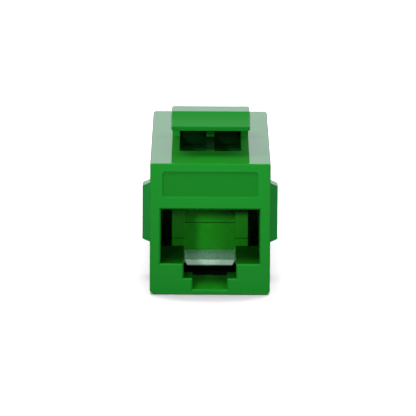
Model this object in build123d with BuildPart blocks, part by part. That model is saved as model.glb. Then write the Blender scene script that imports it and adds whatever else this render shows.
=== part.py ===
"""In-line coupler for two modular network plugs, made to snap into a keystone panel opening.

Two moulded half shells meet at a seam. Each half has a port with eight spring contacts on a
moulded carrier, and one circuit board joins the two sets of contacts.

X runs across the coupler, Y from the front port to the rear port and Z up. The origin is under
the seam, on the flat underside. All sizes are in millimetres.
"""

from build123d import *
import os

os.makedirs("parts", exist_ok=True)

# Outer body
body_width = 14.5
body_height = 16.1
shell_length = 18.0
side_edge_radius = 0.3
bottom_edge_radius = 0.6
face_edge_radius = 0.15
seam_gap = 0.06

# Port, the same at both ends, with the latch notch at the bottom
port_width = 11.95
port_height = 6.7
port_floor = 3.8
notch_width = 6.4
notch_floor = 2.0
slot_width = 4.2
floor_wall = 0.65
mouth_bevel = 0.18
catch_wall = 3.7
ledge_depth = 10.7
face_wall = 1.5
top_wall = 1.2

# Recessed panel above the front port
panel_width = 11.4
panel_height = 3.0
panel_bottom = 12.04
panel_depth = 0.18
panel_corner = 0.35
panel_rim_bevel = 0.08

# Keystone fit: the wings stop behind the panel, the groove and the latch hold its edges
keystone_panel = 1.6
stop_depth = 10.45
wing_reach = 1.05
wing_thickness = 2.3
wing_bottom = 4.28
wing_top = 11.8
wing_taper = 0.45
hook_groove_height = 1.25

# Latch, standing on the rear shell at the seam and reaching forward over the front shell
latch_width = 9.4
lip_width = 9.52
lip_depth = 3.3
lip_underside = 3.36
lip_band = 0.54
ramp_end_depth = 5.35
latch_rise = 5.45
catch_height = 1.25
latch_root_rise = 2.75
arm_root_underside = 1.75
leg_width = 0.93
middle_leg_width = 0.98
leg_length = 1.5
latch_back_wall = 0.8
window_start = 8.4
window_strip = 0.2
latch_edge_radius = 0.2
lip_edge_radius = 0.25
lip_nose_radius = 0.12
lip_undercut = 0.2
ramp_hollow_radius = 15.0

# Side tongues that lock the shells together
tongue_thickness = 0.5
tongue_length = 1.2
tongue_height = 11.0
tongue_bottom = 2.4
tongue_clearance = 0.05

# Circuit board
board_top = 2.25
board_thickness = 0.76
board_end_depth = 9.8
tongue_board_width = 6.16
board_edge_bevel = 0.36
board_side_clearance = 0.08
board_end_clearance = 0.1
rail_width = 0.75
seat_clearance = 0.03
tail_hole_radius = 0.3
tail_hole_sides = 8

# Contact carriers
carrier_width = 9.3
carrier_clearance = 0.05
recess_width = 6.2
recess_wall = 0.96
lintel_height = 5.8
lintel_thickness = 0.3
comb_height = 8.3
pillar_split = 4.68
split_gap = 0.15
split_depth = 0.4
pillar_setback = 0.15
arm_tip_depth = 3.1
arm_thickness = 1.8
flange_length = 1.2

# Contacts
contact_count = 8
contact_pitch = 1.016
wire_size = 0.36
wire_clearance = 0.06
wire_bend = 0.45
tail_inset = 1.1
tail_length = 0.45
spring_tip_depth = 12.3
spring_tip_height = 8.72
spring_start_height = 10.05
tip_slot_length = 1.0

# Sizes that follow from the ones above
cavity_top = body_height - top_wall
port_ceiling = port_floor + port_height
board_bottom = board_top - board_thickness
carrier_front = ledge_depth + carrier_clearance
arm_top = port_ceiling + arm_thickness
groove_front_depth = stop_depth - keystone_panel
window_width = (latch_width - 2 * leg_width - middle_leg_width) / 2
window_x = (middle_leg_width + window_width) / 2
leg_x = (latch_width - leg_width) / 2
rear_window_length = leg_length - window_strip
lip_y = lip_depth - shell_length
lip_end_y = ramp_end_depth - shell_length
catch_y = groove_front_depth - shell_length
wire_slot = wire_size + 2 * wire_clearance
tail_depth = shell_length - tail_inset
recess_back_depth = tail_depth - wire_slot / 2 - recess_wall
wire_top = arm_top - wire_slot / 2
tip_slot_height = spring_tip_height - wire_slot


def front_plane(depth):
    """Returns the cross plane at a depth behind the front face, facing the front."""
    return Plane.XZ.offset(shell_length - depth)


def rear_plane(depth):
    """Returns the cross plane at a depth inside the rear face, facing the front."""
    return Plane.XZ.offset(depth - shell_length)


def block_section(width, bottom, top):
    """Draws an upright rectangle centred across the coupler."""
    with Locations((0, bottom)):
        Rectangle(width, top - bottom, align=(Align.CENTER, Align.MIN))


def port_section():
    """Draws the plug opening with its latch notch and the narrow slot under it."""
    block_section(port_width, port_floor, port_ceiling)
    block_section(notch_width, notch_floor, port_floor)
    block_section(slot_width, floor_wall, notch_floor)


def hook_pocket_section():
    """Draws the port behind the catch wall, where the plug's latch springs out."""
    block_section(port_width, port_floor, port_ceiling)
    block_section(notch_width, floor_wall, port_floor)


def contact_path():
    """Draws a front contact's centre line, seen from the side, from its tail to its spring tip."""
    tail_y = tail_depth - shell_length
    turn_y = arm_tip_depth - shell_length - wire_slot / 2
    FilletPolyline(
        (tail_y, board_bottom - tail_length),
        (tail_y, wire_top),
        (turn_y, wire_top),
        (turn_y, spring_start_height),
        (spring_tip_depth - shell_length, spring_tip_height),
        radius=wire_bend,
    )


def contact_place(number):
    """Returns how far to the right of the middle a front contact stands."""
    return (number - (contact_count + 1) / 2) * contact_pitch


def window_pair(start, end):
    """Draws the two windows in the top wall between two places along Y."""
    with Locations((-window_x, start), (window_x, start)):
        Rectangle(window_width, end - start, align=(Align.CENTER, Align.MIN))


# Front shell
with BuildPart() as front_shell:
    with BuildSketch(front_plane(0)):
        block_section(body_width, 0, body_height)
    extrude(amount=-(shell_length - seam_gap / 2))
    fillet(front_shell.edges().filter_by(Axis.Y).group_by(Axis.Z)[-1], side_edge_radius)
    fillet(front_shell.edges().filter_by(Axis.Y).group_by(Axis.Z)[0], bottom_edge_radius)
    fillet(front_shell.faces().sort_by(Axis.Y)[0].edges(), face_edge_radius)

    # Port through the face, then the wider pocket behind the catch wall
    with BuildSketch(front_plane(0)):
        port_section()
    extrude(amount=-catch_wall, mode=Mode.SUBTRACT)
    chamfer(front_shell.faces().sort_by(Axis.Y)[0].inner_wires()[0].edges(), mouth_bevel)
    with BuildSketch(front_plane(catch_wall)):
        hook_pocket_section()
    extrude(amount=-(ledge_depth - catch_wall), mode=Mode.SUBTRACT)

    # Chamber over the port and the cavity for the carrier and the board
    with BuildSketch(front_plane(face_wall)):
        block_section(port_width, port_ceiling, cavity_top)
    extrude(amount=-(shell_length - face_wall), mode=Mode.SUBTRACT)
    with BuildSketch(front_plane(ledge_depth)):
        block_section(port_width, floor_wall, cavity_top)
    extrude(amount=-(shell_length - ledge_depth), mode=Mode.SUBTRACT)

    # Rails that carry the board along both side walls
    with BuildSketch(front_plane(ledge_depth)):
        with Locations((port_width / 2, floor_wall)):
            Rectangle(rail_width, board_bottom - seat_clearance - floor_wall, align=(Align.MAX, Align.MIN))
        mirror(about=Plane.YZ)
    extrude(amount=-(shell_length - seam_gap / 2 - ledge_depth))

    # Slots for the side tongues of the rear shell
    with BuildSketch(front_plane(shell_length)):
        with Locations((port_width / 2, tongue_bottom - tongue_clearance)):
            Rectangle(
                tongue_thickness + tongue_clearance,
                tongue_height + 2 * tongue_clearance,
                align=(Align.MIN, Align.MIN),
            )
        mirror(about=Plane.YZ)
    extrude(amount=tongue_length + tongue_clearance, mode=Mode.SUBTRACT)

    # Windows in the top wall, open to the seam
    with BuildSketch(Plane.XY.offset(body_height)):
        window_pair(window_start - shell_length, 0)
    extrude(amount=-(top_wall + seam_gap), mode=Mode.SUBTRACT)

    # Recessed panel above the port, with a fine bevel round its rim
    with BuildSketch(front_plane(0)):
        with Locations((0, panel_bottom + panel_height / 2)):
            RectangleRounded(panel_width, panel_height, panel_corner)
    extrude(amount=-panel_depth, mode=Mode.SUBTRACT)
    front_face = front_shell.faces().sort_by(Axis.Y)[0]
    chamfer(front_face.inner_wires().sort_by(Axis.Z)[-1].edges(), panel_rim_bevel)

    # Wings whose front faces stop against the back of the panel
    with BuildSketch(front_plane(stop_depth)):
        with BuildLine():
            Polyline(
                (body_width / 2 - side_edge_radius, wing_bottom),
                (body_width / 2, wing_bottom),
                (body_width / 2 + wing_reach, wing_bottom + wing_taper),
                (body_width / 2 + wing_reach, wing_top - wing_taper),
                (body_width / 2, wing_top),
                (body_width / 2 - side_edge_radius, wing_top),
                close=True,
            )
        make_face()
        mirror(about=Plane.YZ)
    extrude(amount=-wing_thickness)
    fillet(front_shell.faces().filter_by(Axis.X).sort_by(Axis.X)[0].edges(), face_edge_radius)
    fillet(front_shell.faces().filter_by(Axis.X).sort_by(Axis.X)[-1].edges(), face_edge_radius)

    # Groove in the underside that hooks over the lower edge of the panel opening
    with BuildSketch(front_plane(groove_front_depth)):
        block_section(body_width + 2 * wing_reach, 0, hook_groove_height)
    extrude(amount=-keystone_panel, mode=Mode.SUBTRACT)

# Lip at the latch's front end, with a hollow ramp for the finger and a nose that leans back
nose_top = (lip_y, body_height + lip_underside + lip_band)
ramp_top = (lip_end_y, body_height + latch_rise)
with BuildPart() as latch_lip:
    with BuildSketch(Plane.YZ.offset(-lip_width / 2)):
        with BuildLine():
            Polyline(
                ramp_top,
                (lip_end_y, body_height + lip_underside),
                (lip_y + lip_undercut, body_height + lip_underside),
                nose_top,
            )
            RadiusArc(nose_top, ramp_top, -ramp_hollow_radius)
        make_face()
    extrude(amount=lip_width)
    nose_edges = latch_lip.edges().filter_by(Axis.X)
    fillet(nose_edges.filter_by_position(Axis.Y, lip_y, lip_y + lip_undercut), lip_nose_radius)
    end_edges = latch_lip.faces().filter_by(Axis.X).edges()
    fillet(end_edges.filter_by_position(Axis.Y, lip_y, lip_end_y, inclusive=(True, False)), lip_edge_radius)

# Latch: three legs at the seam, an arm that rises towards the front, and a catch with a ramp
with BuildPart() as latch:
    with BuildSketch(Plane.YZ.offset(-latch_width / 2)):
        with BuildLine():
            Polyline(
                (lip_end_y, body_height + lip_underside),
                (lip_end_y, body_height + latch_rise),
                (catch_y, body_height + latch_rise),
                (catch_y, body_height + latch_rise - catch_height),
                (stop_depth - shell_length, body_height + latch_rise - catch_height),
                (leg_length + latch_back_wall, body_height + latch_root_rise),
                (leg_length + latch_back_wall, body_height - top_wall / 2),
                (leg_length, body_height - top_wall / 2),
                (leg_length, body_height + arm_root_underside),
                close=True,
            )
        make_face()
    extrude(amount=latch_width)
    fillet(latch.faces().filter_by(Axis.Z).sort_by(Axis.Z)[-1].edges().filter_by(Axis.Y), latch_edge_radius)

    # The lip crosses the front end of the arm
    add(latch_lip.part)

    # Legs between the windows
    with BuildSketch(Plane.XY.offset(body_height - top_wall / 2)):
        with Locations((-leg_x, seam_gap / 2), (leg_x, seam_gap / 2)):
            Rectangle(leg_width, leg_length, align=(Align.CENTER, Align.MIN))
        with Locations((0, seam_gap / 2)):
            Rectangle(middle_leg_width, leg_length, align=(Align.CENTER, Align.MIN))
    extrude(amount=top_wall / 2 + (arm_root_underside + latch_root_rise) / 2)

# Rear shell with the latch
with BuildPart() as rear_shell:
    with BuildSketch(rear_plane(0)):
        block_section(body_width, 0, body_height)
    extrude(amount=shell_length - seam_gap / 2)
    fillet(rear_shell.edges().filter_by(Axis.Y).group_by(Axis.Z)[-1], side_edge_radius)
    fillet(rear_shell.edges().filter_by(Axis.Y).group_by(Axis.Z)[0], bottom_edge_radius)
    fillet(rear_shell.faces().sort_by(Axis.Y)[-1].edges(), face_edge_radius)

    # Port, pocket, chamber and cavity, as in the front shell
    with BuildSketch(rear_plane(0)):
        port_section()
    extrude(amount=catch_wall, mode=Mode.SUBTRACT)
    chamfer(rear_shell.faces().sort_by(Axis.Y)[-1].inner_wires()[0].edges(), mouth_bevel)
    with BuildSketch(rear_plane(catch_wall)):
        hook_pocket_section()
    extrude(amount=ledge_depth - catch_wall, mode=Mode.SUBTRACT)
    with BuildSketch(rear_plane(face_wall)):
        block_section(port_width, port_ceiling, cavity_top)
    extrude(amount=shell_length - face_wall, mode=Mode.SUBTRACT)
    with BuildSketch(rear_plane(ledge_depth)):
        block_section(port_width, floor_wall, cavity_top)
    extrude(amount=shell_length - ledge_depth, mode=Mode.SUBTRACT)

    # Rails that carry the board along both side walls
    with BuildSketch(rear_plane(ledge_depth)):
        with Locations((port_width / 2, floor_wall)):
            Rectangle(rail_width, board_bottom - seat_clearance - floor_wall, align=(Align.MAX, Align.MIN))
        mirror(about=Plane.YZ)
    extrude(amount=shell_length - seam_gap / 2 - ledge_depth)

    # Side tongues that slide into the front shell
    with BuildSketch(rear_plane(shell_length - seam_gap / 2 - tongue_length)):
        with Locations((port_width / 2, tongue_bottom)):
            Rectangle(tongue_thickness, tongue_height, align=(Align.MIN, Align.MIN))
        mirror(about=Plane.YZ)
    extrude(amount=2 * tongue_length)

    # The windows run on across the seam and end at a narrow strip before the latch wall
    with BuildSketch(Plane.XY.offset(body_height)):
        window_pair(0, rear_window_length)
    extrude(amount=-(top_wall + seam_gap), mode=Mode.SUBTRACT)

    # The latch is moulded with this shell
    add(latch.part)

# Circuit board, with a narrow tongue into each port's latch channel
board_length = 2 * (shell_length - board_end_depth)
board_middle_length = 2 * (shell_length - ledge_depth - board_end_clearance)
with BuildPart() as circuit_board:
    with BuildSketch(front_plane(board_end_depth)):
        with BuildLine():
            Polyline(
                (-tongue_board_width / 2, board_top),
                (tongue_board_width / 2, board_top),
                (tongue_board_width / 2 - board_edge_bevel, board_bottom),
                (board_edge_bevel - tongue_board_width / 2, board_bottom),
                close=True,
            )
        make_face()
    extrude(amount=-board_length)
    with BuildSketch(Plane.XY.offset(board_bottom)):
        Rectangle(port_width - 2 * board_side_clearance, board_middle_length)
    extrude(amount=board_thickness)

    # Holes for the contact tails
    with BuildSketch(Plane.XY.offset(board_bottom)):
        with GridLocations(contact_pitch, 2 * (shell_length - tail_depth), contact_count, 2):
            RegularPolygon(tail_hole_radius, tail_hole_sides)
    extrude(amount=board_thickness, mode=Mode.SUBTRACT)

# Front contact carrier: an upright block between the shells and an arm over the port
with BuildPart() as front_contact_carrier:
    with BuildSketch(front_plane(carrier_front)):
        block_section(carrier_width, board_top + seat_clearance, arm_top)
    extrude(amount=-(shell_length - carrier_front - seam_gap))
    with BuildSketch(front_plane(arm_tip_depth)):
        block_section(port_width - 2 * carrier_clearance, port_ceiling, arm_top)
    extrude(amount=-(shell_length - arm_tip_depth - seam_gap))
    with BuildSketch(front_plane(shell_length - flange_length)):
        block_section(
            port_width - 2 * carrier_clearance,
            board_top + seat_clearance,
            cavity_top - carrier_clearance,
        )
    extrude(amount=-(flange_length - seam_gap))

    # Recess between the pillars, with a lintel across its back and a parting line under it
    with BuildSketch(front_plane(carrier_front)):
        block_section(recess_width, board_top + seat_clearance, comb_height)
    extrude(amount=-(recess_back_depth - carrier_front), mode=Mode.SUBTRACT)
    with BuildSketch(front_plane(recess_back_depth)):
        block_section(recess_width, lintel_height, comb_height)
    extrude(amount=lintel_thickness)
    with BuildSketch(front_plane(recess_back_depth)):
        block_section(recess_width, lintel_height - split_gap, lintel_height)
    extrude(amount=-split_depth, mode=Mode.SUBTRACT)

    # The pillars stand back a little from the foot, with a parting line between them
    with BuildSketch(front_plane(carrier_front)):
        with Locations((recess_width / 2, pillar_split)):
            Rectangle(
                (carrier_width - recess_width) / 2,
                comb_height - pillar_split,
                align=(Align.MIN, Align.MIN),
            )
        mirror(about=Plane.YZ)
    extrude(amount=-pillar_setback, mode=Mode.SUBTRACT)
    with BuildSketch(front_plane(carrier_front)):
        block_section(carrier_width, pillar_split, pillar_split + split_gap)
    extrude(amount=-split_depth, mode=Mode.SUBTRACT)

    # Comb slots that keep the spring tips in line
    with BuildSketch(front_plane(carrier_front)):
        with Locations((0, (tip_slot_height + port_ceiling) / 2)):
            with GridLocations(contact_pitch, 0, contact_count, 1):
                Rectangle(wire_slot, port_ceiling - tip_slot_height)
    slot_end = spring_tip_depth + tip_slot_length
    extrude(amount=-(slot_end - carrier_front), mode=Mode.SUBTRACT)

    # Grooves that follow the wires along the arm and down the block, open to the back
    for number in range(1, contact_count + 1):
        with BuildSketch(Plane.YZ.offset(contact_place(number))):
            with BuildLine():
                contact_path()
            trace(line_width=wire_slot)
        extrude(amount=wire_slot / 2, both=True, mode=Mode.SUBTRACT)
    with BuildSketch(front_plane(tail_depth - wire_slot / 2)):
        with GridLocations(contact_pitch, 0, contact_count, 1):
            with Locations((0, board_top)):
                Rectangle(wire_slot, arm_top - board_top, align=(Align.CENTER, Align.MIN))
    extrude(amount=-(shell_length - tail_depth + wire_slot / 2), mode=Mode.SUBTRACT)

# The rear carrier is the same moulding turned half round
with BuildPart() as rear_contact_carrier:
    add(front_contact_carrier.part.rotate(Axis.Z, 180))


# Contacts, counted from the left as each port is looked into
for number in range(1, contact_count + 1):
    with BuildPart() as front_contact:
        with BuildSketch(Plane.YZ.offset(contact_place(number))):
            with BuildLine():
                contact_path()
            trace(line_width=wire_size)
        extrude(amount=wire_size / 2, both=True)
    front_contact.part.label = f"front_contact_{number}"
    export_step(front_contact.part, f"parts/front_contact_{number}.step")
    with BuildPart() as rear_contact:
        add(front_contact.part.rotate(Axis.Z, 180))
    rear_contact.part.label = f"rear_contact_{number}"
    export_step(rear_contact.part, f"parts/rear_contact_{number}.step")

front_shell.part.label = "front_shell"
export_step(front_shell.part, "parts/front_shell.step")
rear_shell.part.label = "rear_shell"
export_step(rear_shell.part, "parts/rear_shell.step")
circuit_board.part.label = "circuit_board"
export_step(circuit_board.part, "parts/circuit_board.step")
front_contact_carrier.part.label = "front_contact_carrier"
export_step(front_contact_carrier.part, "parts/front_contact_carrier.step")
rear_contact_carrier.part.label = "rear_contact_carrier"
export_step(rear_contact_carrier.part, "parts/rear_contact_carrier.step")
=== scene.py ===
"""Finishes, solder joints and studio of the in-line network coupler.

The frame holds the coupler at its real size in metres. X runs to the right as the front port is
looked into, Y from the front port to the rear port and Z up, with the underside on the floor.
Values whose names end in _mm are in millimetres, in the same frame.
"""

import logging
import math
from dataclasses import dataclass
from enum import Enum
from typing import Any

import bmesh
import bpy
from mathutils import Matrix, Vector


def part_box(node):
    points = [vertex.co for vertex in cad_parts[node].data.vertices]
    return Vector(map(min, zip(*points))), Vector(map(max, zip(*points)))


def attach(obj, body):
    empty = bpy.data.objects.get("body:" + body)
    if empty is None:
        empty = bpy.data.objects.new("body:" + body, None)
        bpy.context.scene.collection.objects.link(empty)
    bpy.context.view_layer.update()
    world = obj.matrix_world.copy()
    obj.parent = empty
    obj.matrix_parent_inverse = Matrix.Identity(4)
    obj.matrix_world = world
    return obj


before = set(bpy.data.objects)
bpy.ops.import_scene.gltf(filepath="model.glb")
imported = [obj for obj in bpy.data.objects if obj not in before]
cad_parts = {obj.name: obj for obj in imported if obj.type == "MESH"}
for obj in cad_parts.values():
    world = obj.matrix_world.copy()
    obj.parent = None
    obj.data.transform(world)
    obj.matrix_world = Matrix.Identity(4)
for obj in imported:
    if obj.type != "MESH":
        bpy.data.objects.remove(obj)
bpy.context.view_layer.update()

MM = 0.001
logging.basicConfig(level=logging.INFO, format="%(levelname)s %(message)s")
log = logging.getLogger("coupler")

Colour = tuple[float, float, float, float]
Point = tuple[float, float, float]
SocketKey = str | int


class Axis(Enum):
    """The frame's three axes, by their place in a vector."""

    X = 0
    Y = 1
    Z = 2


def linear(hex_colour: str) -> Colour:
    """Turns an sRGB hex colour to linear light.

    Args:
        hex_colour: Six hex digits after a hash mark.

    Returns:
        Red, green, blue and an alpha of 1.
    """
    channels = [int(hex_colour[i:i + 2], 16) / 255 for i in (1, 3, 5)]
    red, green, blue = (
        c / 12.92 if c <= 0.04045 else ((c + 0.055) / 1.055) ** 2.4 for c in channels
    )
    return red, green, blue, 1.0


def add_node(
    tree: bpy.types.NodeTree,
    kind: str,
    settings: dict[SocketKey, Any] | None = None,
    links: dict[SocketKey, bpy.types.NodeSocket] | None = None,
) -> bpy.types.Node:
    """Adds one node with its settings and links.

    Args:
        tree: The node tree that takes the node.
        kind: The node's type name in Blender.
        settings: Values for the node's inputs, or for its own properties where no input has
            the name.
        links: Sockets that feed the node's inputs.

    Returns:
        The new node.
    """
    node = tree.nodes.new(kind)
    values = settings or {}
    for key in (k for k in values if isinstance(k, str) and k not in node.inputs):
        setattr(node, key, values[key])
    for key in (k for k in values if isinstance(k, int) or k in node.inputs):
        node.inputs[key].default_value = values[key]
    for key, socket in (links or {}).items():
        tree.links.new(socket, node.inputs[key])
    return node


def new_material(
    name: str,
) -> tuple[bpy.types.Material, bpy.types.NodeTree, bpy.types.NodeSocket]:
    """Makes an empty material.

    Args:
        name: The finish's name.

    Returns:
        The material, its node tree and the socket of its surface.
    """
    material = bpy.data.materials.new(name)
    material.use_nodes = True
    tree = material.node_tree
    tree.nodes.clear()
    output = add_node(tree, "ShaderNodeOutputMaterial")
    return material, tree, output.inputs["Surface"]


def box_mask(
    tree: bpy.types.NodeTree, place: bpy.types.NodeSocket, low: Vector, high: Vector
) -> bpy.types.NodeSocket:
    """Marks the points that lie inside a box.

    Args:
        tree: The material's node tree.
        place: A socket that gives the point's place in the frame.
        low: The box's lowest corner, in metres.
        high: The box's highest corner, in metres.

    Returns:
        A socket that is 1 inside the box and 0 outside it.
    """
    middle = (low + high) / 2
    half = (high - low) / 2
    offset = add_node(
        tree, "ShaderNodeVectorMath", {"operation": "SUBTRACT", 1: middle}, {0: place}
    ).outputs[0]
    distance = add_node(
        tree, "ShaderNodeVectorMath", {"operation": "ABSOLUTE"}, {0: offset}
    ).outputs[0]
    inside = add_node(
        tree, "ShaderNodeVectorMath", {"operation": "SUBTRACT", 0: half}, {1: distance}
    ).outputs[0]
    depth_x, depth_y, depth_z = add_node(
        tree, "ShaderNodeSeparateXYZ", {}, {0: inside}
    ).outputs
    across = add_node(
        tree, "ShaderNodeMath", {"operation": "MINIMUM"}, {0: depth_x, 1: depth_y}
    ).outputs[0]
    least = add_node(
        tree, "ShaderNodeMath", {"operation": "MINIMUM"}, {0: across, 1: depth_z}
    ).outputs[0]
    return add_node(
        tree, "ShaderNodeMath", {"operation": "GREATER_THAN", 1: 0.0}, {0: least}
    ).outputs[0]


@dataclass(frozen=True)
class SatinAndPaintedShadingPatch:
    """A box of the frame in which a moulding is duller, and takes another colour if one is given.

    Most of these colours are painted shade, darker green in hollows and under the latch, and two
    are painted light, lighter green on the stops' fronts. The box is a little larger than the
    faces that it marks, so that it holds all of them.
    """

    low_mm: Point
    high_mm: Point
    roughness: float
    colour: str | None = None


@dataclass(frozen=True)
class MouldedPlastic:
    """A coloured thermoplastic as it leaves a steel mould.

    The polished mould gives a smooth skin with soft, even reflections. Flow of the melt leaves
    faint clouds in its colour, and the steel's polish a fine grain in its gloss.
    """

    name: str
    colour: str
    flow_colour: str
    ior: float
    roughness: float
    gloss_spread: float
    grain_mm: float
    grain_depth_mm: float
    flow_mm: float = 4.0

    def material(self, patches: tuple[SatinAndPaintedShadingPatch, ...]) -> bpy.types.Material:
        """Builds the finish as a material.

        Args:
            patches: The moulding's duller places, most of them in painted shade and some in
                painted light. Where two meet, the later one holds.

        Returns:
            The material.
        """
        material, tree, surface = new_material(self.name)
        place = add_node(tree, "ShaderNodeTexCoord").outputs["Object"]
        flow = add_node(
            tree,
            "ShaderNodeTexNoise",
            {"Scale": 1 / (self.flow_mm * MM), "Detail": 3.0, "Roughness": 0.5, "Distortion": 0.6},
            {"Vector": place},
        ).outputs["Fac"]
        # The grain is finer than a pixel of the picture, so it is drawn about as coarse as one
        grain = add_node(
            tree,
            "ShaderNodeTexNoise",
            {"Scale": 1 / (self.grain_mm * MM), "Detail": 2.0, "Roughness": 0.6},
            {"Vector": place},
        ).outputs["Fac"]
        colour = add_node(
            tree,
            "ShaderNodeMix",
            {"data_type": "RGBA", 6: linear(self.colour), 7: linear(self.flow_colour)},
            {0: flow},
        ).outputs[2]
        roughness = add_node(
            tree,
            "ShaderNodeMapRange",
            {
                "To Min": self.roughness - self.gloss_spread,
                "To Max": self.roughness + self.gloss_spread,
            },
            {"Value": grain},
        ).outputs["Result"]
        for patch in patches:
            low, high = Vector(patch.low_mm) * MM, Vector(patch.high_mm) * MM
            mask = box_mask(tree, place, low, high)
            roughness = add_node(
                tree,
                "ShaderNodeMix",
                {"data_type": "FLOAT", 3: patch.roughness},
                {0: mask, 2: roughness},
            ).outputs[0]
            # A patch's colour is mostly painted shade, and on the stops' fronts painted light
            if patch.colour is not None:
                colour = add_node(
                    tree,
                    "ShaderNodeMix",
                    {"data_type": "RGBA", 7: linear(patch.colour)},
                    {0: mask, 6: colour},
                ).outputs[2]
        bump = add_node(
            tree,
            "ShaderNodeBump",
            {"Strength": 1.0, "Distance": self.grain_depth_mm * MM},
            {"Height": grain},
        ).outputs["Normal"]
        shader = add_node(
            tree,
            "ShaderNodeBsdfPrincipled",
            {"IOR": self.ior},
            {"Base Color": colour, "Roughness": roughness, "Normal": bump},
        )
        tree.links.new(shader.outputs[0], surface)
        return material


@dataclass(frozen=True)
class BoardLaminate:
    """Glass-fibre and epoxy board, pale above and on its cut edge, with a green mask below.

    The bare face shows the weave under the resin as a fine mottle. The routed edge is smoother
    and even paler, where the cut fibres scatter the light.
    """

    name: str
    face_colour: str
    face_shade_colour: str
    edge_colour: str
    edge_shade_colour: str
    mask_colour: str
    edge_top_mm: float
    mask_top_mm: float
    mottle_mm: float = 0.22
    mottle_depth_mm: float = 0.006
    mottle_from: float = 0.35
    mottle_to: float = 0.6
    fibre_mm: float = 0.9
    bare_roughness: float = 0.7
    mask_roughness: float = 0.35
    ior: float = 1.55

    def material(self) -> bpy.types.Material:
        """Builds the finish as a material.

        Returns:
            The material.
        """
        material, tree, surface = new_material(self.name)
        place = add_node(tree, "ShaderNodeTexCoord").outputs["Object"]
        mottle = add_node(
            tree,
            "ShaderNodeTexNoise",
            {"Scale": 1 / (self.mottle_mm * MM), "Detail": 3.0, "Roughness": 0.7},
            {"Vector": place},
        ).outputs["Fac"]
        weave = add_node(
            tree,
            "ShaderNodeMapRange",
            {"From Min": self.mottle_from, "From Max": self.mottle_to},
            {"Value": mottle},
        ).outputs["Result"]
        fibres = add_node(
            tree,
            "ShaderNodeTexNoise",
            {"Scale": 1 / (self.fibre_mm * MM), "Detail": 1.0},
            {"Vector": place},
        ).outputs["Fac"]
        face_colour = add_node(
            tree,
            "ShaderNodeMix",
            {
                "data_type": "RGBA",
                6: linear(self.face_shade_colour),
                7: linear(self.face_colour),
            },
            {0: weave},
        ).outputs[2]
        edge_colour = add_node(
            tree,
            "ShaderNodeMix",
            {
                "data_type": "RGBA",
                6: linear(self.edge_shade_colour),
                7: linear(self.edge_colour),
            },
            {0: fibres},
        ).outputs[2]
        height = add_node(tree, "ShaderNodeSeparateXYZ", {}, {0: place}).outputs["Z"]
        on_face = add_node(
            tree,
            "ShaderNodeMath",
            {"operation": "GREATER_THAN", 1: self.edge_top_mm * MM},
            {0: height},
        ).outputs[0]
        masked = add_node(
            tree,
            "ShaderNodeMath",
            {"operation": "LESS_THAN", 1: self.mask_top_mm * MM},
            {0: height},
        ).outputs[0]
        bare = add_node(
            tree,
            "ShaderNodeMix",
            {"data_type": "RGBA"},
            {0: on_face, 6: edge_colour, 7: face_colour},
        ).outputs[2]
        colour = add_node(
            tree,
            "ShaderNodeMix",
            {"data_type": "RGBA", 7: linear(self.mask_colour)},
            {0: masked, 6: bare},
        ).outputs[2]
        roughness = add_node(
            tree,
            "ShaderNodeMapRange",
            {"To Min": self.bare_roughness, "To Max": self.mask_roughness},
            {"Value": masked},
        ).outputs["Result"]
        bump = add_node(
            tree,
            "ShaderNodeBump",
            {"Strength": 1.0, "Distance": self.mottle_depth_mm * MM},
            {"Height": mottle},
        ).outputs["Normal"]
        shader = add_node(
            tree,
            "ShaderNodeBsdfPrincipled",
            {"IOR": self.ior},
            {"Base Color": colour, "Roughness": roughness, "Normal": bump},
        )
        tree.links.new(shader.outputs[0], surface)
        return material


@dataclass(frozen=True)
class PlatedMetal:
    """Bright metal with the fine lines that drawing or flowing leaves on it."""

    name: str
    colour: str
    shade_colour: str
    roughness: float
    line_mm: float
    line_axis: Axis = Axis.Y
    line_stretch: float = 12.0
    roughness_spread: float = 0.06

    def material(self) -> bpy.types.Material:
        """Builds the finish as a material.

        Returns:
            The material.
        """
        material, tree, surface = new_material(self.name)
        place = add_node(tree, "ShaderNodeTexCoord").outputs["Object"]
        scale = [1.0, 1.0, 1.0]
        scale[self.line_axis.value] = 1 / self.line_stretch
        along = add_node(
            tree,
            "ShaderNodeVectorMath",
            {"operation": "MULTIPLY", 1: Vector(scale)},
            {0: place},
        ).outputs[0]
        lines = add_node(
            tree,
            "ShaderNodeTexNoise",
            {"Scale": 1 / (self.line_mm * MM), "Detail": 2.0},
            {"Vector": along},
        ).outputs["Fac"]
        colour = add_node(
            tree,
            "ShaderNodeMix",
            {"data_type": "RGBA", 6: linear(self.shade_colour), 7: linear(self.colour)},
            {0: lines},
        ).outputs[2]
        roughness = add_node(
            tree,
            "ShaderNodeMapRange",
            {
                "To Min": self.roughness - self.roughness_spread,
                "To Max": self.roughness + self.roughness_spread,
            },
            {"Value": lines},
        ).outputs["Result"]
        shader = add_node(
            tree,
            "ShaderNodeBsdfPrincipled",
            {"Metallic": 1.0},
            {"Base Color": colour, "Roughness": roughness},
        )
        tree.links.new(shader.outputs[0], surface)
        return material


# ABS, moulded against polished steel: an even green with a clean gloss
SHELL_ABS = MouldedPlastic(
    name="moulded_green_abs",
    colour="#1B932B",
    flow_colour="#1D8F2A",
    ior=1.48,
    roughness=0.14,
    gloss_spread=0.03,
    grain_mm=0.12,
    grain_depth_mm=0.0006,
)
# Glass-filled PBT, moulded: duller and a little yellower, mottled by the fibres near its skin
CARRIER_PBT = MouldedPlastic(
    name="moulded_green_pbt",
    colour="#1E8A16",
    flow_colour="#229A1B",
    ior=1.5,
    roughness=0.3,
    gloss_spread=0.05,
    grain_mm=0.2,
    grain_depth_mm=0.003,
    flow_mm=0.6,
)
# Glass-fibre laminate, routed: a pale mottled face and cut edge, green solder mask underneath
BOARD_LAMINATE = BoardLaminate(
    name="glass_fibre_laminate",
    face_colour="#C2FADC",
    face_shade_colour="#70B792",
    edge_colour="#C6E4CE",
    edge_shade_colour="#B0D0BC",
    mask_colour="#1E7A4C",
    edge_top_mm=2.2,
    mask_top_mm=1.62,
)
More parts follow.
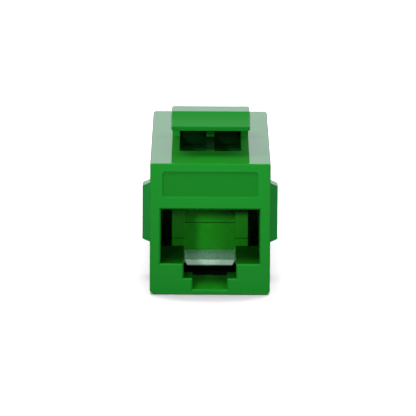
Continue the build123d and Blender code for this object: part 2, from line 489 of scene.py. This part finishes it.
# Gold flash on drawn phosphor bronze: warm and bright, with faint lines along the wire
CONTACT_GOLD = PlatedMetal(
    name="gold_flash_on_bronze",
    colour="#F3C766",
    shade_colour="#D9A441",
    roughness=0.24,
    line_mm=0.1,
)
# Tin solder, set from the melt: cool grey and softly bright
TIN_SOLDER = PlatedMetal(
    name="tin_solder",
    colour="#D4D6D8",
    shade_colour="#A9ACB0",
    roughness=0.32,
    line_mm=0.15,
    line_stretch=1.0,
)

# Duller places of the shells: spark-eroded faces and hollows that the moulder left unpolished,
# most of them also in painted shade, and the stops' fronts in painted light
SHELL_PATCHES = (
    # The recessed panel's floor
    SatinAndPaintedShadingPatch(
        low_mm=(-5.69, -17.93, 12.05),
        high_mm=(5.69, -17.7, 15.03),
        roughness=0.3,
        colour="#198424",
    ),
    # The floor of the plug catch's channel
    SatinAndPaintedShadingPatch(
        low_mm=(-6.1, -17.8, 0.5),
        high_mm=(6.1, -7.0, 1.9),
        roughness=0.85,
        colour="#1D9217",
    ),
    # The inside of the front port: spark-eroded, and in painted shade that darkens its walls and
    # ceiling
    SatinAndPaintedShadingPatch(
        low_mm=(-6.1, -17.8, 1.9),
        high_mm=(6.1, -7.0, 10.6),
        roughness=0.85,
        colour="#187C13",
    ),
    # The channel's back and the closed chamber behind it, painted near-black as shade, since no
    # light reaches them
    SatinAndPaintedShadingPatch(
        low_mm=(-3.3, -9.9, 0.05),
        high_mm=(3.3, -4.0, 3.5),
        roughness=0.9,
        colour="#031606",
    ),
    # The ledges to the left and the right of the channel, in painted shade, the left one darker
    # where the left wall shades it
    SatinAndPaintedShadingPatch(
        low_mm=(-6.1, -17.7, 3.6),
        high_mm=(-3.2, -7.0, 4.0),
        roughness=0.85,
        colour="#145F0F",
    ),
    SatinAndPaintedShadingPatch(
        low_mm=(3.2, -17.7, 3.6),
        high_mm=(6.1, -7.0, 4.0),
        roughness=0.85,
        colour="#166C11",
    ),
    # The steps on both sides of the channel, in painted shade
    SatinAndPaintedShadingPatch(
        low_mm=(-3.2, -17.7, 1.85),
        high_mm=(3.2, -12.0, 2.2),
        roughness=0.85,
        colour="#105A0D",
    ),
    # The fronts of the left and the right stop, in painted light: lighter than the shell, the
    # right one lightest
    SatinAndPaintedShadingPatch(
        low_mm=(-8.4, -7.65, 4.2),
        high_mm=(-7.35, -7.45, 11.9),
        roughness=0.4,
        colour="#2A9F45",
    ),
    SatinAndPaintedShadingPatch(
        low_mm=(7.35, -7.65, 4.2),
        high_mm=(8.4, -7.45, 11.9),
        roughness=0.4,
        colour="#2EAF4A",
    ),
    # The latch's ramp and lip, in painted shade, a darker green than the rest of the shell
    SatinAndPaintedShadingPatch(
        low_mm=(-4.65, -14.8, 19.3),
        high_mm=(4.65, -12.0, 21.5),
        roughness=0.14,
        colour="#178326",
    ),
    # The inside of the rear port
    SatinAndPaintedShadingPatch(
        low_mm=(-6.1, 7.0, 0.5),
        high_mm=(6.1, 17.8, 10.6),
        roughness=0.85,
    ),
    # The top of the body under the latch, in painted shade from the latch above it
    SatinAndPaintedShadingPatch(
        low_mm=(-4.7, -17.7, 15.9),
        high_mm=(4.7, 1.25, 16.2),
        roughness=0.85,
        colour="#188C1A",
    ),
    # The wall behind the latch's legs, painted near-black as the deep shade that it lies in
    SatinAndPaintedShadingPatch(
        low_mm=(-4.65, 1.25, 14.9),
        high_mm=(4.65, 1.6, 18.3),
        roughness=0.9,
        colour="#06260B",
    ),
    # The middle rib between the windows under the latch, in painted shade
    SatinAndPaintedShadingPatch(
        low_mm=(-0.5, -9.0, 15.9),
        high_mm=(0.5, -0.05, 16.2),
        roughness=0.9,
        colour="#0C4416",
    ),
)
# The tops of the carriers, painted dark as the shade that they lie in under the windows
CARRIER_PATCHES = (
    SatinAndPaintedShadingPatch(
        low_mm=(-6.2, -10.5, 12.6),
        high_mm=(6.2, 10.5, 15.5),
        roughness=0.9,
        colour="#0C4416",
    ),
)


def dress(node: str, material: bpy.types.Material) -> bpy.types.Object:
    """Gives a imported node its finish.

    Args:
        node: The node's name.
        material: The finish.

    Returns:
        The node's object.
    """
    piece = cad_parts[node]
    if not piece.material_slots:
        piece.data.materials.append(material)
    for slot in piece.material_slots:
        slot.material = material
    return piece


@dataclass
class HalfShells:
    """The two moulded half shells, the rear one with the latch."""

    nodes: tuple[str, ...] = ("front_shell", "rear_shell")
    finish: MouldedPlastic = SHELL_ABS
    patches: tuple[SatinAndPaintedShadingPatch, ...] = SHELL_PATCHES

    def build(self) -> list[bpy.types.Object]:
        """Dresses both shells and returns them."""
        material = self.finish.material(self.patches)
        return [dress(node, material) for node in self.nodes]


@dataclass
class ContactBlock:
    """One end's carrier with its spring contacts and their solder joints."""

    end: str
    carrier_finish: MouldedPlastic = CARRIER_PBT
    carrier_patches: tuple[SatinAndPaintedShadingPatch, ...] = CARRIER_PATCHES
    contact_finish: PlatedMetal = CONTACT_GOLD
    solder_finish: PlatedMetal = TIN_SOLDER
    contact_count: int = 8
    joint_radius_mm: float = 0.42
    joint_height_mm: float = 0.3
    rings: int = 5
    sides: int = 20

    def contact_names(self) -> list[str]:
        """Names the contacts, counted from the left as the port is looked into."""
        return [f"{self.end}_contact_{n}" for n in range(1, self.contact_count + 1)]

    def solder_joint(self, mesh: bmesh.types.BMesh, foot: Vector, tip_radius: float) -> None:
        """Adds one joint: a hollow-sided cone that climbs from its pad onto the wire's tail.

        Args:
            mesh: The mesh that takes the joint.
            foot: The middle of the pad, on the board's underside.
            tip_radius: Half the wire's size, in metres.
        """
        loops = []
        for ring in range(self.rings):
            share = ring / (self.rings - 1)
            radius = tip_radius + (self.joint_radius_mm * MM - tip_radius) * (1 - share) ** 2
            drop = self.joint_height_mm * MM * share
            angles = [2 * math.pi * side / self.sides for side in range(self.sides)]
            loops.append([
                mesh.verts.new(
                    foot + Vector((radius * math.cos(angle), radius * math.sin(angle), -drop))
                )
                for angle in angles
            ])
        for upper, lower in zip(loops, loops[1:]):
            for side in range(self.sides):
                after = (side + 1) % self.sides
                mesh.faces.new((upper[side], lower[side], lower[after], upper[after]))
        mesh.faces.new(loops[0])
        mesh.faces.new(reversed(loops[-1]))

    def solder_joints(self) -> bpy.types.Object:
        """Builds the joints that hold the contacts' tails under the board.

        Returns:
            One piece with all of this end's joints.
        """
        board_low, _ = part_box("circuit_board")
        mesh = bmesh.new()
        for contact in self.contact_names():
            low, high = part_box(contact)
            size = high.x - low.x
            tail_y = high.y - size / 2 if self.end == "front" else low.y + size / 2
            foot = Vector(((low.x + high.x) / 2, tail_y, board_low.z))
            self.solder_joint(mesh, foot, size / 2)
        bmesh.ops.recalc_face_normals(mesh, faces=mesh.faces)
        data = bpy.data.meshes.new(f"{self.end}_solder_joints")
        mesh.to_mesh(data)
        mesh.free()
        data.shade_smooth()
        piece = bpy.data.objects.new(data.name, data)
        bpy.context.scene.collection.objects.link(piece)
        data.materials.append(self.solder_finish.material())
        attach(piece, "root")
        return piece

    def build(self) -> list[bpy.types.Object]:
        """Dresses the carrier and the contacts and adds the solder joints.

        Returns:
            All of this end's pieces.
        """
        plastic = self.carrier_finish.material(self.carrier_patches)
        pieces = [dress(f"{self.end}_contact_carrier", plastic)]
        gold = self.contact_finish.material()
        pieces += [dress(contact, gold) for contact in self.contact_names()]
        return [*pieces, self.solder_joints()]


@dataclass
class Board:
    """The printed board that joins the two ends."""

    node: str = "circuit_board"
    finish: BoardLaminate = BOARD_LAMINATE

    def build(self) -> list[bpy.types.Object]:
        """Dresses the board and returns it."""
        return [dress(self.node, self.finish.material())]


class Reach(Enum):
    """What a lamp lights."""

    COUPLER = "coupler"
    FLOOR = "floor"
    BOARD = "board"


@dataclass(frozen=True)
class Lamp:
    """A soft lamp that looks at a point: a flat panel, or a round one behind a cone.

    Its level is how bright it alone makes a white card that faces it from the aimed point, with
    1 for white. Gloss shows the world and not the lamp.
    """

    name: str
    place_mm: Point
    aim_mm: Point
    size_mm: tuple[float, float]
    level: float
    reach: Reach = Reach.COUPLER
    cone_deg: float | None = None

    def build(self, receivers: dict[Reach, bpy.types.Collection]) -> None:
        """Adds the lamp.

        Args:
            receivers: The collection that limits what is lit, for each reach.
        """
        data = bpy.data.lights.new(self.name, "AREA" if self.cone_deg is None else "SPOT")
        offset = (Vector(self.aim_mm) - Vector(self.place_mm)) * MM
        card_watts = self.level * (math.pi * offset.length) ** 2
        if self.cone_deg is None:
            data.shape = "RECTANGLE"
            data.size, data.size_y = (side * MM for side in self.size_mm)
            data.energy = card_watts
        else:
            # A spot's watts are counted over a whole sphere, so it takes four times a panel's
            data.shadow_soft_size = self.size_mm[0] * MM / 2
            data.spot_size = math.radians(self.cone_deg)
            data.spot_blend = 1.0
            data.energy = 4 * card_watts
        lamp = bpy.data.objects.new(self.name, data)
        lamp.location = Vector(self.place_mm) * MM
        lamp.rotation_mode = "QUATERNION"
        lamp.rotation_quaternion = offset.to_track_quat("-Z", "Y")
        lamp.visible_camera = False
        lamp.visible_glossy = False
        bpy.context.scene.collection.objects.link(lamp)
        lamp.light_linking.receiver_collection = receivers[self.reach]


# Points that the lamps look at: the middle of each end, and one over the front face, so that the
# soft edge of the key's cone runs across that face
FACE_MM = (0.0, -18.0, 8.0)
OVER_FACE_MM = (0.0, -18.0, 26.5)
BACK_MM = (0.0, 18.0, 8.0)
LAMPS = (
    # The key's narrow cone fades down the front face, and the strip fills it from the right
    Lamp(
        "key",
        place_mm=(-133.0, -452.0, 130.0),
        aim_mm=OVER_FACE_MM,
        size_mm=(40.0, 40.0),
        level=0.7,
        cone_deg=9.0,
    ),
    Lamp(
        "side_strip",
        place_mm=(149.0, -450.0, 118.0),
        aim_mm=FACE_MM,
        size_mm=(94.0, 57.0),
        level=0.29,
    ),
    # The board's tongue is lit once more, into the port
    Lamp(
        "board_lamp",
        place_mm=(0.0, -417.0, 257.0),
        aim_mm=FACE_MM,
        size_mm=(60.0, 60.0),
        level=0.22,
        reach=Reach.BOARD,
    ),
    # Overhead boxes, the left one strongest
    Lamp(
        "left_softbox",
        place_mm=(-200.0, -190.0, 440.0),
        aim_mm=FACE_MM,
        size_mm=(200.0, 153.0),
        level=0.39,
    ),
    Lamp(
        "right_softbox",
        place_mm=(200.0, -190.0, 440.0),
        aim_mm=FACE_MM,
        size_mm=(200.0, 153.0),
        level=0.14,
    ),
    Lamp(
        "top_softbox",
        place_mm=(0.0, -37.0, 440.0),
        aim_mm=FACE_MM,
        size_mm=(200.0, 153.0),
        level=0.15,
    ),
    # Fills for the sides and the back
    Lamp(
        "left_rear_fill",
        place_mm=(-330.0, 330.0, 120.0),
        aim_mm=BACK_MM,
        size_mm=(150.0, 150.0),
        level=0.4,
    ),
    Lamp(
        "right_rear_fill",
        place_mm=(330.0, 330.0, 120.0),
        aim_mm=BACK_MM,
        size_mm=(150.0, 150.0),
        level=0.4,
    ),
    # The floor's own lamps leave only a short soft shadow in front of the coupler
    Lamp(
        "floor_softbox",
        place_mm=(0.0, -190.0, 440.0),
        aim_mm=FACE_MM,
        size_mm=(250.0, 460.0),
        level=0.3,
        reach=Reach.FLOOR,
    ),
    Lamp(
        "floor_left",
        place_mm=(-380.0, -30.0, 290.0),
        aim_mm=FACE_MM,
        size_mm=(200.0, 200.0),
        level=0.32,
        reach=Reach.FLOOR,
    ),
    Lamp(
        "floor_right",
        place_mm=(380.0, -30.0, 290.0),
        aim_mm=FACE_MM,
        size_mm=(200.0, 200.0),
        level=0.32,
        reach=Reach.FLOOR,
    ),
    Lamp(
        "floor_rear",
        place_mm=(0.0, 130.0, 450.0),
        aim_mm=FACE_MM,
        size_mm=(400.0, 150.0),
        level=1.15,
        reach=Reach.FLOOR,
    ),
)


@dataclass
class Studio:
    """Floor, world, lamps and the camera, which stands where the photograph's stood.

    Gloss shows a world that is nearly black on the camera's side, which front_gloss gives, and
    white behind the coupler. It rises as the ray's Y goes from gloss_from_y to gloss_to_y.
    """

    floor_side_mm: float = 6000.0
    floor_drop_mm: float = 0.01
    floor_colour: str = "#484848"
    floor_seen_colour: str = "#FFF9FF"
    floor_glow: float = 0.1
    ambient: float = 0.03
    front_gloss: float = 0.02
    gloss_colour: str = "#F2F8FF"
    gloss_from_y: float = -0.15
    gloss_to_y: float = 0.32
    lamps: tuple[Lamp, ...] = LAMPS
    azimuth_deg: float = 0.100
    elevation_deg: float = 11.412
    roll_deg: float = 0.341
    target_mm: Point = FACE_MM
    right_mm: float = 0.253
    up_mm: float = -2.641
    distance_mm: float = 522.3
    focal_px: float = 4341.5
    frame_px: float = 416.0
    sensor_mm: float = 36.0
    clip_ratio: float = 20.0

    def floor(self) -> bpy.types.Object:
        """Adds the pale floor, white to the camera except for the coupler's shadow.

        Returns:
            The floor.
        """
        half = self.floor_side_mm / 2 * MM
        drop = self.floor_drop_mm * MM
        corners = [(-half, -half), (half, -half), (half, half), (-half, half)]
        data = bpy.data.meshes.new("floor")
        data.from_pydata([(x, y, -drop) for x, y in corners], [], [(0, 1, 2, 3)])
        piece = bpy.data.objects.new("floor", data)
        bpy.context.scene.collection.objects.link(piece)
        material, tree, surface = new_material("pale_floor")
        plain = add_node(tree, "ShaderNodeBsdfDiffuse", {"Color": linear(self.floor_colour)})
        seen_colour = linear(self.floor_seen_colour)
        shaded = add_node(tree, "ShaderNodeBsdfDiffuse", {"Color": seen_colour})
        glow = add_node(
            tree,
            "ShaderNodeEmission",
            {"Color": linear("#FFFFFF"), "Strength": self.floor_glow},
        )
        white = add_node(
            tree, "ShaderNodeAddShader", {}, {0: shaded.outputs[0], 1: glow.outputs[0]}
        )
        rays = add_node(tree, "ShaderNodeLightPath").outputs
        seen = add_node(
            tree,
            "ShaderNodeMath",
            {"operation": "MAXIMUM"},
            {0: rays["Is Camera Ray"], 1: rays["Is Transmission Ray"]},
        )
        mixed = add_node(
            tree,
            "ShaderNodeMixShader",
            {},
            {0: seen.outputs[0], 1: plain.outputs[0], 2: white.outputs[0]},
        )
        tree.links.new(mixed.outputs[0], surface)
        data.materials.append(material)
        return piece

    def world(self) -> None:
        """Adds the white surroundings, which fall to dark on the camera's side in gloss."""
        world = bpy.data.worlds.new("studio")
        world.use_nodes = True
        tree = world.node_tree
        tree.nodes.clear()
        white = linear("#FFFFFF")
        rays = add_node(tree, "ShaderNodeLightPath").outputs
        seen = add_node(
            tree,
            "ShaderNodeMath",
            {"operation": "MAXIMUM"},
            {0: rays["Is Camera Ray"], 1: rays["Is Transmission Ray"]},
        )
        direction = add_node(tree, "ShaderNodeTexCoord").outputs["Generated"]
        depth = add_node(tree, "ShaderNodeSeparateXYZ", {}, {0: direction}).outputs["Y"]
        level = add_node(
            tree,
            "ShaderNodeMapRange",
            {
                "interpolation_type": "SMOOTHSTEP",
                "From Min": self.gloss_from_y,
                "From Max": self.gloss_to_y,
                "To Min": self.front_gloss,
                "To Max": 1.0,
            },
            {"Value": depth},
        ).outputs["Result"]
        ambient = add_node(
            tree, "ShaderNodeBackground", {"Color": white, "Strength": self.ambient}
        )
        gloss = add_node(
            tree, "ShaderNodeBackground", {"Color": linear(self.gloss_colour)}, {"Strength": level}
        )
        backdrop = add_node(tree, "ShaderNodeBackground", {"Color": white, "Strength": 1.0})
        reflected = add_node(
            tree,
            "ShaderNodeMixShader",
            {},
            {0: rays["Is Glossy Ray"], 1: ambient.outputs[0], 2: gloss.outputs[0]},
        )
        shown = add_node(
            tree,
            "ShaderNodeMixShader",
            {},
            {0: seen.outputs[0], 1: reflected.outputs[0], 2: backdrop.outputs[0]},
        )
        output = add_node(tree, "ShaderNodeOutputWorld", {}, {"Surface": shown.outputs[0]})
        output.is_active_output = True
        bpy.context.scene.world = world

    def receivers(self, floor: bpy.types.Object) -> dict[Reach, bpy.types.Collection]:
        """Makes the collections that limit what the lamps light.

        Args:
            floor: The floor, which the coupler's lamps leave out and its own lamps light alone.

        Returns:
            One collection for each reach.
        """
        limits = {
            Reach.COUPLER: (floor, "EXCLUDE"),
            Reach.FLOOR: (floor, "INCLUDE"),
            Reach.BOARD: (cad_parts["circuit_board"], "INCLUDE"),
        }
        collections = {}
        for reach, (piece, state) in limits.items():
            collection = bpy.data.collections.new(f"lit_{reach.value}")
            collection.objects.link(piece)
            collection.collection_objects[0].light_linking.link_state = state
            collections[reach] = collection
        return collections

    def camera(self) -> None:
        """Adds the camera and aims it as the photograph's was."""
        azimuth, elevation, roll = (
            math.radians(angle) for angle in (self.azimuth_deg, self.elevation_deg, self.roll_deg)
        )
        forward = Vector((
            math.sin(azimuth) * math.cos(elevation),
            math.cos(azimuth) * math.cos(elevation),
            -math.sin(elevation),
        ))
        level_right = Vector((math.cos(azimuth), -math.sin(azimuth), 0.0))
        level_up = level_right.cross(forward)
        right = math.cos(roll) * level_right + math.sin(roll) * level_up
        up = math.cos(roll) * level_up - math.sin(roll) * level_right
        offset_mm = self.right_mm * right + self.up_mm * up + self.distance_mm * forward
        place = (Vector(self.target_mm) - offset_mm) * MM
        data = bpy.data.cameras.new("camera")
        data.sensor_width = self.sensor_mm
        data.lens = self.focal_px / self.frame_px * self.sensor_mm
        data.clip_start = self.distance_mm * MM / self.clip_ratio
        data.clip_end = self.distance_mm * MM * self.clip_ratio
        camera = bpy.data.objects.new("camera", data)
        turn = Matrix((right, up, -forward)).transposed().to_4x4()
        camera.matrix_world = Matrix.Translation(place) @ turn
        bpy.context.scene.collection.objects.link(camera)
        bpy.context.scene.camera = camera

    def build(self) -> None:
        """Adds everything round the coupler."""
        bpy.context.scene.view_settings.view_transform = "Standard"
        floor = self.floor()
        self.world()
        receivers = self.receivers(floor)
        for lamp in self.lamps:
            lamp.build(receivers)
        self.camera()


def main() -> None:
    """Dresses the coupler, reports each piece and sets up the studio."""
    for assembly in (HalfShells(), Board(), ContactBlock("front"), ContactBlock("rear")):
        for piece in assembly.build():
            log.info("%s: %s", piece.name, piece.material_slots[0].material.name)
    Studio().build()


if __name__ == "__main__":
    main()
